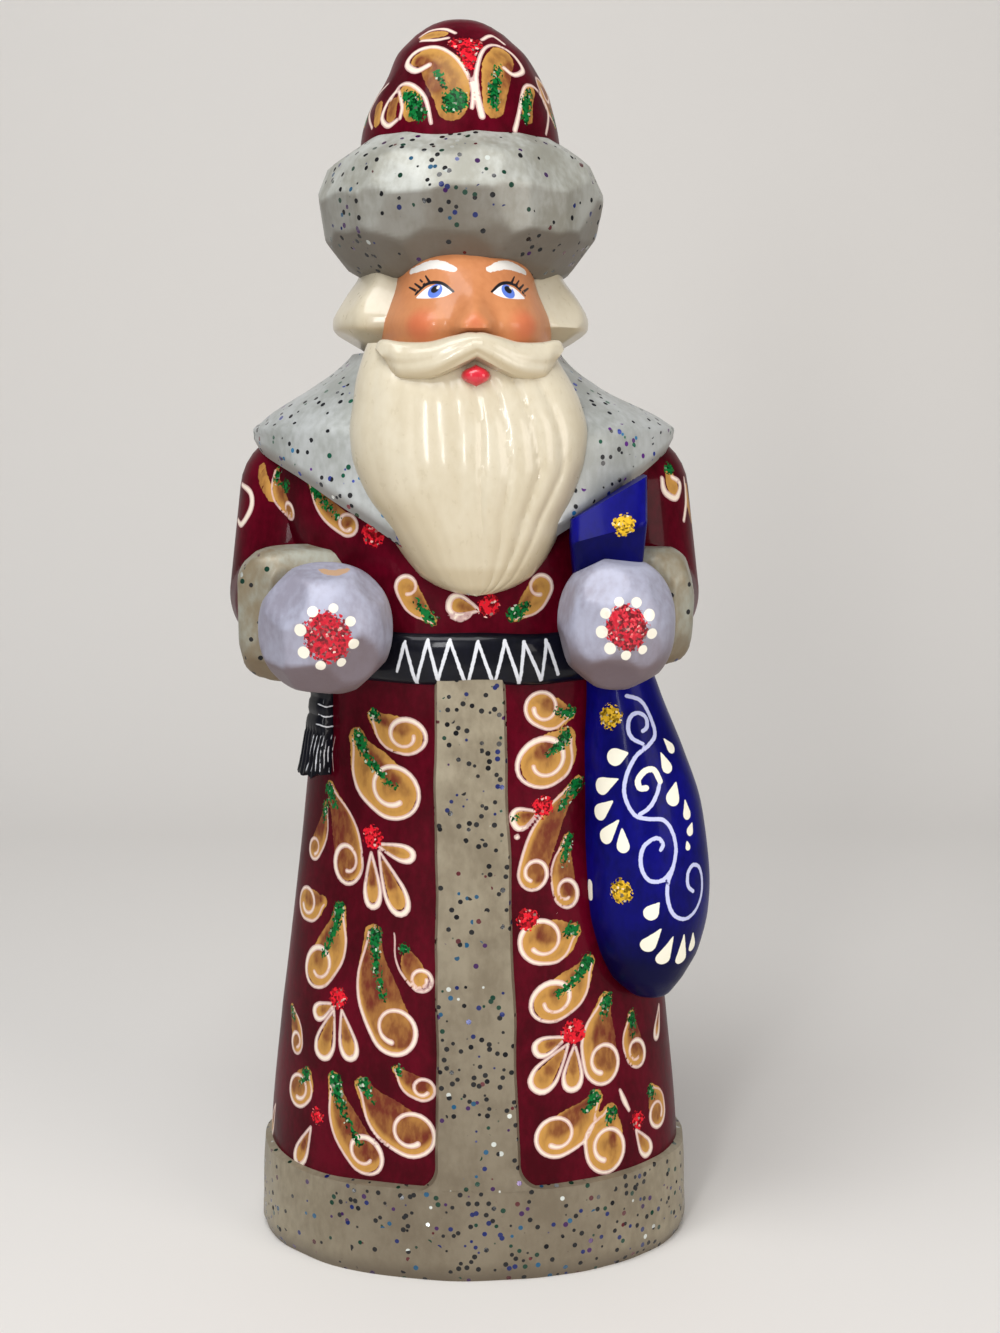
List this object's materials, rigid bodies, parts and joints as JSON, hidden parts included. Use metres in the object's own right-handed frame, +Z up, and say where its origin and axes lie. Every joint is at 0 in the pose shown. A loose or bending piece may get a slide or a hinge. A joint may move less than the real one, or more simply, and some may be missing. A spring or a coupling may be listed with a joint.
{
  "type": "carved wooden figurine",
  "caption": "Carved and painted wooden Santa figure in a long fur-trimmed coat, with round fur hat, mittens, belt and a sack, standing on its flat underside.",
  "frame": {"origin": "middle of the flat underside", "axes": "+Z up through the hat, the figure faces -Y, and +X is the viewer's right, where the sack hangs"},
  "size_m": [0.0712, 0.0535, 0.18],
  "materials": {
    "painted_wood": "glossy lacquered paint over linden wood, with pearl fur, glitter specks and gold and white scroll ornament"
  },
  "bodies": {
    "root": {"carved_figure": "painted_wood"}
  },
  "joints": []
}
